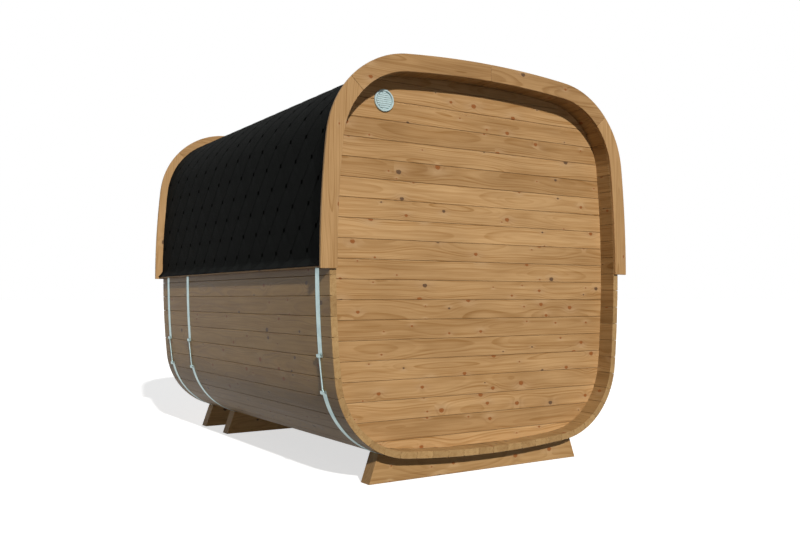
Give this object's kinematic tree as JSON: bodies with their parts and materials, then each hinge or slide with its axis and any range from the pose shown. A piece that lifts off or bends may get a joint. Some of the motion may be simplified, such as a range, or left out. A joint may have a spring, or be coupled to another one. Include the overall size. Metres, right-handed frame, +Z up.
{
  "type": "outdoor cube sauna",
  "caption": "Rounded-square barrel sauna of timber staves held by steel bands on cradle legs, with a shingled upper half, arched fascia boards and a recessed boarded rear wall",
  "frame": {"origin": "centre of the ground rectangle under the whole sauna, at ground level", "axes": "+Y to the closed rear end, -Y to the porch end, +X to the right of someone facing +Y, +Z up"},
  "size_m": [2.422, 3.036, 2.567],
  "materials": {
    "stave_wood": "matte",
    "wall_wood": "matte",
    "trim_wood": "matte",
    "leg_wood": "matte",
    "door_wood": "matte",
    "handle_wood": "satin",
    "shingle": "matte",
    "strap_steel": "satin",
    "vent_metal": "satin"
  },
  "bodies": {
    "root": {"shell_bottom": "stave_wood", "shell_low_left": "stave_wood", "shell_low_right": "stave_wood", "shell_left": "stave_wood", "shell_right": "stave_wood", "shell_high_left": "stave_wood", "shell_high_right": "stave_wood", "shell_top": "stave_wood", "rear_wall": "wall_wood", "vent_ring": "vent_metal", "vent_grille": "vent_metal", "front_wall_left": "wall_wood", "front_wall_right": "wall_wood", "front_wall_head": "wall_wood", "front_wall_sill": "wall_wood", "door_frame": "door_wood", "door_leaf": "door_wood", "door_handle": "handle_wood", "door_hinges": "strap_steel", "roof_left": "shingle", "roof_top": "shingle", "roof_right": "shingle", "eave_left": "trim_wood", "eave_right": "trim_wood", "fascia_rear_left": "trim_wood", "fascia_rear_top_left": "trim_wood", "fascia_rear_top_right": "trim_wood", "fascia_rear_right": "trim_wood", "fascia_front_left": "trim_wood", "fascia_front_top_left": "trim_wood", "fascia_front_top_right": "trim_wood", "fascia_front_right": "trim_wood", "strap_rear_upper": "strap_steel", "strap_rear_lower": "strap_steel", "strap_rear_rods": "strap_steel", "strap_middle_upper": "strap_steel", "strap_middle_lower": "strap_steel", "strap_middle_rods": "strap_steel", "strap_front_upper": "strap_steel", "strap_front_lower": "strap_steel", "strap_front_rods": "strap_steel", "leg_rear": "leg_wood", "leg_middle": "leg_wood", "leg_front": "leg_wood"}
  },
  "joints": []
}
